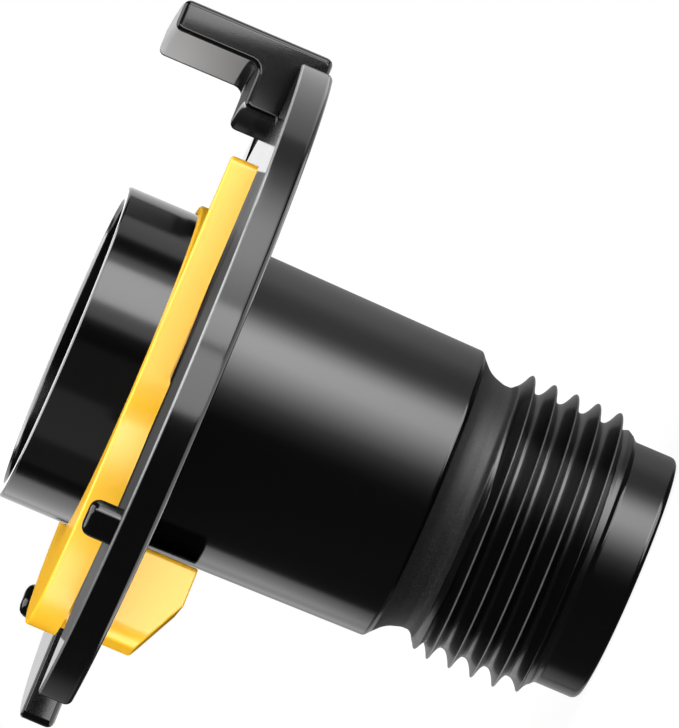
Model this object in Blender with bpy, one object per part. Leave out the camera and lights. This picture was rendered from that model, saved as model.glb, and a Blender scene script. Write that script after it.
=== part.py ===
"""Bayonet fitting of a sewer hose kit: a threaded hose barrel, a swivelling bayonet flange and a lock ring.

Metres, +Z up. The Z axis is the axis of the bore, and the fitting stands on its nose, the hose end.
The mouth faces +Z, the hook of the flange is at +X and the thumb lever of the lock ring is at -X.
"""

import math

import bmesh
import bpy
from mathutils import Matrix, Vector

# Clearances
FIT_GAP = 0.0003
SLIT_WIDTH = 0.0010
CUT_PAST = 0.0030
FLAT_TOLERANCE = 0.00003

# Tail of the mouth sleeve, which plugs into the barrel and carries the flange and the lock ring
TAIL_RADIUS = 0.0286
TAIL_WALL = 0.0015
TAIL_EDGE = 0.0008
GROOVE_DEPTH = 0.0017
SLEEVE_GROOVE_RISE = 0.0050

# Hose barrel: nose, thread, neck, cove and barrel, stacked along Z
NOSE_BORE_RADIUS = 0.0230
NOSE_WALL = 0.0031
NOSE_LENGTH = 0.0092
NOSE_EDGE = 0.0016
NECK_WALL = 0.0032
NECK_LENGTH = 0.0030
COVE_HEIGHT = 0.0051
COVE_SWEEP = math.radians(75)
SHOULDER_RISE = 0.0011
SHOULDER_ROUND = 0.0006
SHOULDER_WALL = 0.0037
BARREL_LENGTH = 0.0496
BORE_CONE_LENGTH = 0.0080
SOCKET_DEPTH = 0.0160
SOCKET_WALL = 0.0029
SOCKET_LEDGE = 0.0014

# Hose thread: its flanks are shares of the pitch, and the hollow of a flank is a share of the flank
THREAD_STEP = 0.0010
THREAD_DEPTH = 0.0032
THREAD_PITCH = 0.00478
THREAD_LENGTH = 0.0272
THREAD_MARGIN = 0.0026
THREAD_CREST_WIDTH = 0.0004
THREAD_SINK = 0.0008
THREAD_START_ANGLE = math.radians(-170)
THREAD_FADE_ANGLE = math.radians(120)
NOSE_FLANK_SHARE = 0.36
BARREL_FLANK_SHARE = 0.54
HOLLOW_ALONG_SHARE = 0.41
HOLLOW_RISE_SHARE = 0.39

# Head of the mouth sleeve, the gasket on the seat inside it, and the washer behind it
SLEEVE_HEAD_LENGTH = 0.0171
MOUTH_RIM = 0.0016
MOUTH_EDGE = 0.0008
MOUTH_CHAMFER = 0.0016
GASKET_STANDOFF = 0.0005
GASKET_WIDTH = 0.0042
GASKET_THICKNESS = 0.0030
GASKET_LIP = 0.0009
GASKET_RECESS = 0.0030
WASHER_THICKNESS = 0.0008

# Bayonet flange: a disc with a lever notch, two relief notches, one hook and two lug pads
FLANGE_RADIUS = 0.0727
FLANGE_THICKNESS = 0.0070
FLANGE_EDGE = 0.0018
RELIEF_DEPTH = 0.0147
RELIEF_HALF_ANGLE = math.radians(27.5)
HOOK_HALF_ANGLE = math.radians(12.75)
HOOK_LENGTH = 0.0254
HOOK_THICKNESS = 0.0065
HOOK_ROOT = 0.0008
HOOK_EDGE = 0.0014
HOOK_END_EDGE = 0.0009
HOOK_THROAT_FILLET = 0.0020
HOOK_BACK_STEP = 0.0002
LUG_HEIGHT = 0.0066
LUG_WIDTH = 0.0050
LUG_INSET = 0.0012
LUG_ANGLE = math.radians(52.95)
LUG_HALF_ANGLE = math.radians(2.65)
LUG_SINK = 0.0020
LUG_EDGE = 0.0012
LUG_END_EDGE = 0.0008

# Lock ring: a collar round the sleeve, a round lobe towards the lever and two straight spring arms
RING_THICKNESS = 0.0063
RING_WEB = 0.0024
RING_EDGE = 0.0008
COLLAR_WALL = 0.0018
LOBE_WIDER = 0.0006
LOBE_OFFSET = 0.0190
ARM_ANGLE = math.radians(101.5)
ARM_THICKNESS = 0.0038
ARM_LENGTH = 0.0470
ARM_TIP_RADIUS = 0.0012
ARM_RAMP_START = 0.0030
ARM_RAMP_END = 0.0085
ARM_LIFT = 0.0006
ARM_LIFT_START = 0.0020

# Thumb lever, moulded on the lock ring and reaching back through the lever notch, past the barrel
LEVER_CLEARANCE = 0.0016
LEVER_HALF_WIDTH = 0.0080
LEVER_DEPTH = 0.0197
LEVER_REACH = 0.0210
LEVER_HEEL = 0.0082
LEVER_TOE_RISE = 0.0057
LEVER_ROUND = 0.0040
LEVER_SINK = 0.0020
LEVER_TRAVEL_ROOM = 0.0069
NOTCH_FLOOR_ROOM = 0.0018
NOTCH_CORNER = 0.0020

# Smoothness of the round forms
TURN_STEPS = 60
SEAL_STEPS = 48
THREAD_STEPS = 40
COVE_STEPS = 5
HOOK_STEPS = 6
LUG_STEPS = 2
BEVEL_STEPS = 2
ROUND_PROFILE = 0.5
ARC_STEP = math.radians(30)
SEAL_ARC_STEP = math.radians(60)
LOBE_STEP = math.radians(6)
STEP_SLACK = 0.01
SHARP_ANGLE = math.radians(35)

# Heights that follow from the stack
THREAD_BOTTOM = NOSE_LENGTH
NECK_BOTTOM = THREAD_BOTTOM + THREAD_LENGTH
COVE_BOTTOM = NECK_BOTTOM + NECK_LENGTH
SHOULDER_HEIGHT = COVE_BOTTOM + COVE_HEIGHT
BORE_CONE_TOP = SHOULDER_HEIGHT + SHOULDER_RISE
BARREL_TOP = SHOULDER_HEIGHT + BARREL_LENGTH
SOCKET_FLOOR = BARREL_TOP - SOCKET_DEPTH
FLANGE_BACK = BARREL_TOP + FIT_GAP
FLANGE_FRONT = FLANGE_BACK + FLANGE_THICKNESS
RING_BACK = FLANGE_FRONT + FIT_GAP
WASHER_BOTTOM = RING_BACK + RING_WEB + FIT_GAP
HEAD_BOTTOM = WASHER_BOTTOM + WASHER_THICKNESS + FIT_GAP
MOUTH_TOP = HEAD_BOTTOM + SLEEVE_HEAD_LENGTH

# Heights on the mouth sleeve, from the bottom of its tail
TAIL_BOTTOM = SOCKET_FLOOR + FIT_GAP
SWIVEL_GROOVE_RISE = FLANGE_BACK + FLANGE_THICKNESS / 2 - TAIL_BOTTOM
SLEEVE_HEAD = HEAD_BOTTOM - TAIL_BOTTOM
SLEEVE_TOP = MOUTH_TOP - TAIL_BOTTOM
GASKET_SEAT = SLEEVE_TOP - GASKET_RECESS - GASKET_THICKNESS - FIT_GAP

# Radii that follow from the walls and the fits
GROOVE_FLOOR_RADIUS = TAIL_RADIUS - GROOVE_DEPTH
GROOVE_WIDTH = GROOVE_DEPTH + FIT_GAP
SLEEVE_BORE_RADIUS = GROOVE_FLOOR_RADIUS - TAIL_WALL
TAIL_BORE_FIT = TAIL_RADIUS + FIT_GAP
BARREL_BORE_RADIUS = TAIL_RADIUS - SOCKET_LEDGE
BARREL_TOP_RADIUS = TAIL_BORE_FIT + SOCKET_WALL
SHOULDER_RADIUS = BARREL_BORE_RADIUS + SHOULDER_WALL
NOSE_RADIUS = NOSE_BORE_RADIUS + NOSE_WALL
NECK_RADIUS = NOSE_BORE_RADIUS + NECK_WALL
THREAD_ROOT_RADIUS = NOSE_RADIUS + THREAD_STEP
GASKET_INNER_RADIUS = SLEEVE_BORE_RADIUS + GASKET_STANDOFF
GASKET_OUTER_RADIUS = GASKET_INNER_RADIUS + GASKET_WIDTH
GASKET_SEAT_RADIUS = GASKET_OUTER_RADIUS + FIT_GAP
SLEEVE_RADIUS = GASKET_SEAT_RADIUS + MOUTH_CHAMFER + MOUTH_RIM
WASHER_OUTER_RADIUS = SLEEVE_RADIUS - FIT_GAP
COLLAR_BORE_RADIUS = SLEEVE_RADIUS + FIT_GAP
COLLAR_RADIUS = COLLAR_BORE_RADIUS + COLLAR_WALL
LOBE_RADIUS = COLLAR_RADIUS + LOBE_WIDER
ARM_INNER = COLLAR_RADIUS + SLIT_WIDTH
ARM_OUTER = ARM_INNER + ARM_THICKNESS
RELIEF_FLOOR_RADIUS = FLANGE_RADIUS - RELIEF_DEPTH
HOOK_FOOT_RADIUS = RELIEF_FLOOR_RADIUS - HOOK_ROOT
LUG_OUTER_RADIUS = FLANGE_RADIUS - LUG_INSET
LUG_INNER_RADIUS = LUG_OUTER_RADIUS - LUG_WIDTH

# Distances of the lever and its notch from the axis
LEVER_TOP = BARREL_TOP_RADIUS + LEVER_CLEARANCE
LEVER_SHOULDER = LEVER_TOP + LEVER_HEEL
LEVER_BOTTOM = LEVER_TOP + LEVER_DEPTH
NOTCH_FLOOR = LEVER_TOP - NOTCH_FLOOR_ROOM
NOTCH_HALF_WIDTH = LEVER_HALF_WIDTH + LEVER_TRAVEL_ROOM


def finish(name, colour, roughness):
    """One plain material with the colour and gloss of the moulding."""
    made = bpy.data.materials.new(name)
    made.use_nodes = True
    shader = made.node_tree.nodes["Principled BSDF"]
    shader.inputs["Base Color"].default_value = (*colour, 1)
    shader.inputs["Roughness"].default_value = roughness
    shader.inputs["Metallic"].default_value = 0
    return made


def add_piece(name, mesh, material, height=0):
    """Closes the mesh into a named object whose origin is on the Z axis at the given height."""
    bmesh.ops.recalc_face_normals(mesh, faces=mesh.faces)
    data = bpy.data.meshes.new(name)
    mesh.to_mesh(data)
    mesh.free()
    data.materials.append(material)
    data.shade_smooth()
    data.set_sharp_from_angle(angle=SHARP_ANGLE)
    piece = bpy.data.objects.new(name, data)
    piece.location.z = height
    bpy.context.scene.collection.objects.link(piece)
    return piece


def combine(piece, tool, operation):
    """Joins a tool to a piece, or cuts it out. The tool shares the piece's local frame."""
    tool.parent = piece
    tool.location.z = 0
    tool.hide_render = True
    tool.display_type = "WIRE"
    modifier = piece.modifiers.new(tool.name, "BOOLEAN")
    modifier.operation = operation
    modifier.solver = "EXACT"
    modifier.object = tool


def arc(centre, start, sweep, step):
    """Points of an arc from the start, turned about the centre through the sweep, both ends included."""
    spoke = start - centre
    count = max(1, math.ceil(abs(sweep) / step - STEP_SLACK))
    points = []
    for index in range(count + 1):
        turn = sweep * index / count
        x = spoke.x * math.cos(turn) - spoke.y * math.sin(turn)
        y = spoke.x * math.sin(turn) + spoke.y * math.cos(turn)
        points.append(centre + Vector((x, y)))
    return points


def rounded(corners):
    """Points of a closed outline. A corner (a, b, radius) becomes an arc unless its radius is 0."""
    points = []
    for index, (a, b, radius) in enumerate(corners):
        here = Vector((a, b))
        if radius == 0:
            points.append(here)
            continue
        back = (Vector(corners[index - 1][:2]) - here).normalized()
        on = (Vector(corners[(index + 1) % len(corners)][:2]) - here).normalized()
        half = back.angle(on) / 2
        centre = here + (back + on).normalized() * radius / math.sin(half)
        start = here + back * radius / math.tan(half)
        side = back.x * on.y - back.y * on.x
        sweep = math.copysign(math.pi - 2 * half, -side)
        points.extend(arc(centre, start, sweep, ARC_STEP))
    return points


def outline_wire(mesh, points):
    """A closed wire of (radius, height) points in the XZ plane."""
    corners = [mesh.verts.new((point.x, 0, point.y)) for point in points]
    edges = [mesh.edges.new((corners[index - 1], corners[index])) for index in range(len(corners))]
    return corners + edges


def round_edges(mesh, edges, width):
    """Rounds edges of a mesh."""
    bmesh.ops.bevel(
        mesh,
        geom=list(edges),
        offset=width,
        segments=BEVEL_STEPS,
        profile=ROUND_PROFILE,
        affect="EDGES",
        material=-1,
    )


def turned(name, points, material, height=0, steps=TURN_STEPS):
    """A solid of revolution about Z from a closed outline of (radius, height) points."""
    mesh = bmesh.new()
    wire = outline_wire(mesh, points)
    bmesh.ops.spin(
        mesh, geom=wire, cent=(0, 0, 0), axis=(0, 0, 1), angle=math.tau, steps=steps, use_merge=True
    )
    return add_piece(name, mesh, material, height)


def sector(name, points, middle, half_angle, steps, end_edge, material):
    """An outline of (radius, height) points swept about Z to both sides of a middle angle, ends rounded."""
    mesh = bmesh.new()
    wire = outline_wire(mesh, points)
    start = Matrix.Rotation(middle - half_angle, 3, "Z")
    bmesh.ops.rotate(mesh, verts=mesh.verts, cent=(0, 0, 0), matrix=start)
    bmesh.ops.spin(
        mesh, geom=wire, cent=(0, 0, 0), axis=(0, 0, 1), angle=2 * half_angle, steps=steps
    )
    bmesh.ops.holes_fill(mesh, edges=mesh.edges, sides=0)
    if end_edge:
        ends = [face for face in mesh.faces if len(face.verts) == len(points)]
        round_edges(mesh, {edge for face in ends for edge in face.edges}, end_edge)
    return add_piece(name, mesh, material)


def prism(outline, bottom, top):
    """A mesh of a flat (x, y) outline drawn up from the bottom to the top height."""
    mesh = bmesh.new()
    base = mesh.faces.new([mesh.verts.new((point.x, point.y, bottom)) for point in outline])
    drawn = bmesh.ops.extrude_face_region(mesh, geom=[base])
    raised = [element for element in drawn["geom"] if isinstance(element, bmesh.types.BMVert)]
    bmesh.ops.translate(mesh, verts=raised, vec=(0, 0, top - bottom))
    return mesh


def thread_tooth(material):
    """One unbroken right-hand ridge with hollow flanks, which rises from the root and sinks back into it."""
    nose_flank = NOSE_FLANK_SHARE * THREAD_PITCH
    barrel_flank = BARREL_FLANK_SHARE * THREAD_PITCH
    crest = THREAD_CREST_WIDTH / 2
    hollow = THREAD_DEPTH * HOLLOW_RISE_SHARE
    section = [
        (-nose_flank, -THREAD_SINK),
        (-nose_flank, 0),
        (-nose_flank * HOLLOW_ALONG_SHARE, hollow),
        (-crest, THREAD_DEPTH),
        (crest, THREAD_DEPTH),
        (barrel_flank * HOLLOW_ALONG_SHARE, hollow),
        (barrel_flank, 0),
        (barrel_flank, -THREAD_SINK),
    ]
    turns = (THREAD_LENGTH - 2 * THREAD_MARGIN) / THREAD_PITCH
    steps = round(turns * THREAD_STEPS)
    fade_steps = THREAD_STEPS * THREAD_FADE_ANGLE / math.tau
    mesh = bmesh.new()
    loops = []
    for step in range(steps + 1):
        angle = THREAD_START_ANGLE + math.tau * turns * step / steps
        climb = THREAD_BOTTOM + THREAD_MARGIN + THREAD_PITCH * turns * step / steps
        rise = min(1, step / fade_steps, (steps - step) / fade_steps)
        loop = []
        for along, out in section:
            radius = THREAD_ROOT_RADIUS + out * rise - 2 * THREAD_SINK * (1 - rise)
            loop.append(mesh.verts.new((radius * math.cos(angle), radius * math.sin(angle), climb + along)))
        loops.append(loop)
    for low, high in zip(loops, loops[1:]):
        for index in range(len(section)):
            mesh.faces.new((low[index - 1], low[index], high[index], high[index - 1]))
    mesh.faces.new(loops[0])
    mesh.faces.new(loops[-1])
    return add_piece("hose_thread", mesh, material)


def hose_barrel(material):
    """The turned outer form, the stepped bore and the hose thread."""
    corners = []
    for count in range(COVE_STEPS + 1):
        turn = COVE_SWEEP * count / COVE_STEPS
        radius = SHOULDER_RADIUS - (SHOULDER_RADIUS - NECK_RADIUS) * math.cos(turn)
        corners.append((radius, COVE_BOTTOM + (COVE_HEIGHT - SHOULDER_RISE) * math.sin(turn), 0))
    corners += [
        (SHOULDER_RADIUS, SHOULDER_HEIGHT, SHOULDER_ROUND),
        (BARREL_TOP_RADIUS, BARREL_TOP, 0),
        (TAIL_BORE_FIT, BARREL_TOP, 0),
        (TAIL_BORE_FIT, SOCKET_FLOOR, 0),
        (BARREL_BORE_RADIUS, SOCKET_FLOOR, 0),
        (BARREL_BORE_RADIUS, BORE_CONE_TOP, 0),
        (NOSE_BORE_RADIUS, BORE_CONE_TOP - BORE_CONE_LENGTH, 0),
        (NOSE_BORE_RADIUS, 0, 0),
        (NOSE_RADIUS, 0, NOSE_EDGE),
        (NOSE_RADIUS, THREAD_BOTTOM, 0),
        (THREAD_ROOT_RADIUS, THREAD_BOTTOM + THREAD_ROOT_RADIUS - NOSE_RADIUS, 0),
        (THREAD_ROOT_RADIUS, NECK_BOTTOM - THREAD_ROOT_RADIUS + NECK_RADIUS, 0),
        (NECK_RADIUS, NECK_BOTTOM, 0),
    ]
    piece = turned("hose_barrel", rounded(corners), material)
    combine(piece, thread_tooth(material), "UNION")
    return piece


def groove(middle):
    """The four corners of a seal groove in the tail, from top to bottom."""
    top = middle + GROOVE_WIDTH / 2
    bottom = middle - GROOVE_WIDTH / 2
    return [
        (TAIL_RADIUS, top, 0),
        (GROOVE_FLOOR_RADIUS, top, 0),
        (GROOVE_FLOOR_RADIUS, bottom, 0),
        (TAIL_RADIUS, bottom, 0),
    ]


def mouth_sleeve(material):
    """The spigot that enters the outlet. Heights are from the bottom of its tail."""
    corners = [
        (SLEEVE_RADIUS, SLEEVE_TOP, MOUTH_EDGE),
        (SLEEVE_RADIUS, SLEEVE_HEAD, 0),
        (TAIL_RADIUS, SLEEVE_HEAD, 0),
        *groove(SWIVEL_GROOVE_RISE),
        *groove(SLEEVE_GROOVE_RISE),
        (TAIL_RADIUS, 0, TAIL_EDGE),
        (SLEEVE_BORE_RADIUS, 0, 0),
        (SLEEVE_BORE_RADIUS, GASKET_SEAT, 0),
        (GASKET_SEAT_RADIUS, GASKET_SEAT, 0),
        (GASKET_SEAT_RADIUS, SLEEVE_TOP - MOUTH_CHAMFER, 0),
        (GASKET_SEAT_RADIUS + MOUTH_CHAMFER, SLEEVE_TOP, 0),
    ]
    return turned("mouth_sleeve", rounded(corners), material, TAIL_BOTTOM)


def o_ring(name, height, material):
    """A rubber ring that lies in a groove of the tail, with the fit gap on every side."""
    section = (GROOVE_DEPTH - FIT_GAP) / 2
    middle = Vector((TAIL_RADIUS - section, 0))
    points = arc(middle, middle + Vector((section, 0)), math.tau, SEAL_ARC_STEP)[:-1]
    return turned(name, points, material, TAIL_BOTTOM + height, SEAL_STEPS)


def mouth_gasket(material):
    """A rubber ring with a sloped lip, on the seat inside the mouth."""
    points = rounded(
        [
            (GASKET_OUTER_RADIUS, 0, 0),
            (GASKET_OUTER_RADIUS, GASKET_THICKNESS, 0),
            (GASKET_INNER_RADIUS + GASKET_LIP, GASKET_THICKNESS, 0),
            (GASKET_INNER_RADIUS, GASKET_THICKNESS - GASKET_LIP, 0),
            (GASKET_INNER_RADIUS, 0, 0),
        ]
    )
    return turned("mouth_gasket", points, material, TAIL_BOTTOM + GASKET_SEAT + FIT_GAP, SEAL_STEPS)


def friction_washer(material):
    """A flat washer between the sleeve's head and the web of the lock ring."""
    points = rounded(
        [
            (WASHER_OUTER_RADIUS, 0, 0),
            (WASHER_OUTER_RADIUS, WASHER_THICKNESS, 0),
            (TAIL_BORE_FIT, WASHER_THICKNESS, 0),
            (TAIL_BORE_FIT, 0, 0),
        ]
    )
    return turned("friction_washer", points, material, WASHER_BOTTOM, SEAL_STEPS)


def bayonet_flange(material):
    """The disc, its notches, the long hook and the two lug pads. Heights are from the back face."""
    disc = [
        (FLANGE_RADIUS, FLANGE_THICKNESS, 0),
        (FLANGE_RADIUS, 0, FLANGE_EDGE),
        (TAIL_BORE_FIT, 0, 0),
        (TAIL_BORE_FIT, FLANGE_THICKNESS, 0),
    ]
    piece = turned("bayonet_flange", rounded(disc), material, FLANGE_BACK)

    outside = FLANGE_RADIUS + CUT_PAST
    above = FLANGE_THICKNESS + CUT_PAST
    notch = [
        (-outside, NOTCH_HALF_WIDTH, 0),
        (-outside, -NOTCH_HALF_WIDTH, 0),
        (-NOTCH_FLOOR, -NOTCH_HALF_WIDTH, NOTCH_CORNER),
        (-NOTCH_FLOOR, NOTCH_HALF_WIDTH, NOTCH_CORNER),
    ]
    notch_mesh = prism(rounded(notch), -CUT_PAST, above)
    combine(piece, add_piece("lever_notch", notch_mesh, material), "DIFFERENCE")

    relief = [
        (outside, above, 0),
        (outside, -CUT_PAST, 0),
        (RELIEF_FLOOR_RADIUS, -CUT_PAST, 0),
        (RELIEF_FLOOR_RADIUS, above, 0),
    ]
    relief_tool = sector("hook_relief", rounded(relief), 0, RELIEF_HALF_ANGLE, HOOK_STEPS, 0, material)
    combine(piece, relief_tool, "DIFFERENCE")

    lug_top = FLANGE_THICKNESS + LUG_HEIGHT
    hook_top = FLANGE_THICKNESS + HOOK_LENGTH
    hook_inner = FLANGE_RADIUS - HOOK_THICKNESS
    hook = [
        (FLANGE_RADIUS, hook_top, HOOK_EDGE),
        (FLANGE_RADIUS, HOOK_BACK_STEP, FLANGE_EDGE),
        (HOOK_FOOT_RADIUS, HOOK_BACK_STEP, 0),
        (HOOK_FOOT_RADIUS, lug_top, HOOK_EDGE),
        (hook_inner, lug_top, HOOK_THROAT_FILLET),
        (hook_inner, hook_top, HOOK_EDGE),
    ]
    hook_tool = sector("hook", rounded(hook), 0, HOOK_HALF_ANGLE, HOOK_STEPS, HOOK_END_EDGE, material)
    combine(piece, hook_tool, "UNION")

    lug = [
        (LUG_OUTER_RADIUS, lug_top, LUG_EDGE),
        (LUG_OUTER_RADIUS, FLANGE_THICKNESS - LUG_SINK, 0),
        (LUG_INNER_RADIUS, FLANGE_THICKNESS - LUG_SINK, 0),
        (LUG_INNER_RADIUS, lug_top, LUG_EDGE),
    ]
    for side, name in ((1, "lug_left"), (-1, "lug_right")):
        middle = side * (math.pi - LUG_ANGLE)
        lug_tool = sector(name, rounded(lug), middle, LUG_HALF_ANGLE, LUG_STEPS, LUG_END_EDGE, material)
        combine(piece, lug_tool, "UNION")
    return piece


def lobe_outward(along):
    """How far the lobe's edge stands out from the axis, across the arm, at a distance along the arm."""
    centre_along = -LOBE_OFFSET * math.sin(ARM_ANGLE)
    centre_out = -LOBE_OFFSET * math.cos(ARM_ANGLE)
    return centre_out + math.sqrt(LOBE_RADIUS**2 - (along - centre_along) ** 2)


def arm_point(along, outward):
    """A point in the plane of the ring, from distances along an arm and out from the axis."""
    x = along * math.sin(ARM_ANGLE) + outward * math.cos(ARM_ANGLE)
    y = -along * math.cos(ARM_ANGLE) + outward * math.sin(ARM_ANGLE)
    return Vector((x, y))


def ring_half_outline():
    """The ring's outline at +Y, from +X round to -X: collar, slit, spring arm, ramp and lobe."""
    meet = (LOBE_RADIUS**2 - COLLAR_RADIUS**2 - LOBE_OFFSET**2) / (2 * LOBE_OFFSET)
    collar_end = math.acos(meet / COLLAR_RADIUS)
    collar = arc(Vector((0, 0)), Vector((COLLAR_RADIUS, 0)), collar_end, LOBE_STEP)
    centre_out = -LOBE_OFFSET * math.cos(ARM_ANGLE)
    root_reach = math.sqrt(LOBE_RADIUS**2 - (ARM_INNER - centre_out) ** 2)
    slit_root = root_reach - LOBE_OFFSET * math.sin(ARM_ANGLE)
    tip = ARM_LENGTH - ARM_TIP_RADIUS
    inner_tip = arm_point(tip, ARM_INNER + ARM_TIP_RADIUS)
    outer_tip = arm_point(tip, ARM_OUTER - ARM_TIP_RADIUS)
    arm = [arm_point(slit_root, ARM_INNER)]
    arm += arc(inner_tip, arm_point(tip, ARM_INNER), math.pi / 2, ARC_STEP)
    arm += arc(outer_tip, arm_point(ARM_LENGTH, ARM_OUTER - ARM_TIP_RADIUS), math.pi / 2, ARC_STEP)
    arm += [arm_point(-ARM_RAMP_START, ARM_OUTER)]
    ramp_foot = arm_point(-ARM_RAMP_END, lobe_outward(-ARM_RAMP_END))
    lobe_centre = Vector((-LOBE_OFFSET, 0))
    spoke = ramp_foot - lobe_centre
    lobe = arc(lobe_centre, ramp_foot, math.pi - math.atan2(spoke.y, spoke.x), LOBE_STEP)
    return collar + arm + lobe


def lock_ring(material):
    """The collar, lobe and arms as one bored plate, with the thumb lever. Heights are from its back."""
    half = ring_half_outline()
    other_half = [Vector((point.x, -point.y)) for point in reversed(half[1:-1])]
    plate = prism(half + other_half, 0, RING_THICKNESS)
    top = [face for face in plate.faces if abs(face.calc_center_median().z - RING_THICKNESS) < FLAT_TOLERANCE]
    round_edges(plate, top[0].edges, RING_EDGE)
    piece = add_piece("lock_ring", plate, material, RING_BACK)

    above = RING_THICKNESS + CUT_PAST
    core_radius = TAIL_BORE_FIT / 2
    bore_overlap = core_radius - CUT_PAST
    bore = [
        (COLLAR_BORE_RADIUS, above, 0),
        (COLLAR_BORE_RADIUS, RING_WEB, 0),
        (TAIL_BORE_FIT, RING_WEB, 0),
        (TAIL_BORE_FIT, -CUT_PAST, 0),
        (bore_overlap, -CUT_PAST, 0),
        (bore_overlap, above, 0),
    ]
    combine(piece, turned("ring_bore", rounded(bore), material), "DIFFERENCE")
    core = arc(Vector((0, 0)), Vector((core_radius, 0)), math.tau, LOBE_STEP)[:-1]
    combine(piece, add_piece("ring_core", prism(core, -CUT_PAST, above), material), "DIFFERENCE")

    for side, name in ((1, "arm_lift_left"), (-1, "arm_lift_right")):
        corners = [
            arm_point(-ARM_LIFT_START, ARM_INNER - SLIT_WIDTH / 2),
            arm_point(ARM_LENGTH + CUT_PAST, ARM_INNER - SLIT_WIDTH / 2),
            arm_point(ARM_LENGTH + CUT_PAST, ARM_OUTER + CUT_PAST),
            arm_point(-ARM_LIFT_START, ARM_OUTER + CUT_PAST),
        ]
        lift = [Vector((corner.x, side * corner.y)) for corner in corners]
        combine(piece, add_piece(name, prism(lift, -CUT_PAST, ARM_LIFT), material), "DIFFERENCE")

    plan = [
        (-LEVER_TOP, LEVER_HALF_WIDTH, 0),
        (-LEVER_BOTTOM, LEVER_HALF_WIDTH, LEVER_ROUND),
        (-LEVER_BOTTOM, -LEVER_HALF_WIDTH, LEVER_ROUND),
        (-LEVER_TOP, -LEVER_HALF_WIDTH, 0),
    ]
    lever = prism(rounded(plan), -LEVER_REACH, LEVER_SINK)
    slope = Vector((-LEVER_TOE_RISE, 0, LEVER_SHOULDER - LEVER_BOTTOM))
    cut = bmesh.ops.bisect_plane(
        lever,
        geom=lever.verts[:] + lever.edges[:] + lever.faces[:],
        plane_co=(-LEVER_SHOULDER, 0, -LEVER_REACH),
        plane_no=slope,
        clear_outer=True,
    )
    rim = [element for element in cut["geom_cut"] if isinstance(element, bmesh.types.BMEdge)]
    bmesh.ops.holes_fill(lever, edges=rim, sides=0)
    combine(piece, add_piece("thumb_lever", lever, material), "UNION")
    return piece


for old in list(bpy.data.objects):
    bpy.data.objects.remove(old)

gloss_black = finish("gloss_black_plastic", (0.012, 0.012, 0.014), 0.25)
satin_black = finish("satin_black_plastic", (0.016, 0.016, 0.018), 0.40)
yellow = finish("yellow_plastic", (0.95, 0.56, 0.05), 0.35)
rubber = finish("black_rubber", (0.020, 0.020, 0.020), 0.70)
white_nylon = finish("natural_nylon", (0.75, 0.74, 0.70), 0.45)

barrel = hose_barrel(gloss_black)
flange = bayonet_flange(satin_black)
ring = lock_ring(yellow)
fixed_to_barrel = [
    mouth_sleeve(gloss_black),
    o_ring("sleeve_o_ring", SLEEVE_GROOVE_RISE, rubber),
    o_ring("swivel_o_ring", SWIVEL_GROOVE_RISE, rubber),
    mouth_gasket(rubber),
    friction_washer(white_nylon),
]

# The sleeve and its seals stay with the barrel, the flange swivels, and the lock ring turns on the flange
for piece in fixed_to_barrel + [flange]:
    piece.parent = barrel
ring.parent = flange
ring.location.z = RING_BACK - FLANGE_BACK
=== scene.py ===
import math

import bmesh
import bpy
from mathutils import Matrix, Vector


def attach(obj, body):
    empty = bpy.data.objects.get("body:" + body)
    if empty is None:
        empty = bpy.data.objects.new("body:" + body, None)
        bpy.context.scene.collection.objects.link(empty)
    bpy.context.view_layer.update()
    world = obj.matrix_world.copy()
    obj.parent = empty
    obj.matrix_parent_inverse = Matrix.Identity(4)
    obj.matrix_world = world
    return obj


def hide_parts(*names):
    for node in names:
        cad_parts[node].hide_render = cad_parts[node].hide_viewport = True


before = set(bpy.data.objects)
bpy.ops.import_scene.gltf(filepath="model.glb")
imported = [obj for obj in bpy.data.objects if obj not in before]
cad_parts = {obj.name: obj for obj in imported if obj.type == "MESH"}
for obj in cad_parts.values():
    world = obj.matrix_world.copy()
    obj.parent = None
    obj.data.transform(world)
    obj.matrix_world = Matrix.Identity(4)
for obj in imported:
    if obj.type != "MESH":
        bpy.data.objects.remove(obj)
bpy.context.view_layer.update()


# Hose barrel
# One black moulding: a plain nose, a coarse thread for the hose cuff, a narrow neck and the barrel, which has
# a socket at its top for the tail of the mouth sleeve. Barrel and nose are polished in the mould, and the
# neck and its cove keep a fine grain.
NOSE_BORE_RADIUS = 0.0230
NOSE_RADIUS = 0.0261
NOSE_LENGTH = 0.0092
NOSE_ROUND = 0.0014
NECK_RADIUS = 0.0263
NECK_BOTTOM = 0.0364
COVE_BOTTOM = 0.0380
COVE_MIDDLE = 0.0412
COVE_MIDDLE_RADIUS = 0.0273
COVE_TOP = 0.0434
COVE_TOP_RADIUS = 0.0296
COVE_ROUND = 0.0014
SHOULDER_RADIUS = 0.0309
SHOULDER_HEIGHT = 0.0445
BARREL_TOP = 0.0941
BARREL_TOP_RADIUS = 0.0318
BARREL_BORE_RADIUS = 0.0272
BORE_CONE_TOP = 0.0456
BORE_CONE_BOTTOM = 0.0376
BORE_ROUND = 0.0010
SOCKET_RADIUS = 0.0289
SOCKET_FLOOR = 0.0781
SOFT_EDGE = 0.0004
ROUND_STEPS = 216
SAME_PLACE = 2e-6
WELD = 1e-6

THREAD_ROOT_RADIUS = 0.0271
THREAD_DEPTH = 0.0032
THREAD_PITCH = 0.00478
THREAD_BOTTOM = 0.0102
THREAD_TOP = 0.0355
THREAD_RUN_IN = 0.0004
THREAD_START_ANGLE = math.radians(-170)
FIRST_CREST = 0.0120
LOWEST_CREST = 0.0114
HIGHEST_CREST = 0.0339
FIRST_TURN = -0.75
LAST_TURN = 5.3
FIRST_TOOTH = -2
LAST_TOOTH = 5
FADE_IN = 1.0
FADE_OUT = 2.0
NOSE_FLANK = 0.36
BARREL_FLANK = 0.54
FLANK_HOLLOW = 1.8
CREST_EDGE = 0.05
CREST_DROP = 0.08
# How far down from the crest the painted highlight line of the thread reaches.
CREST_HIGHLIGHT_REACH = 0.00028


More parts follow.
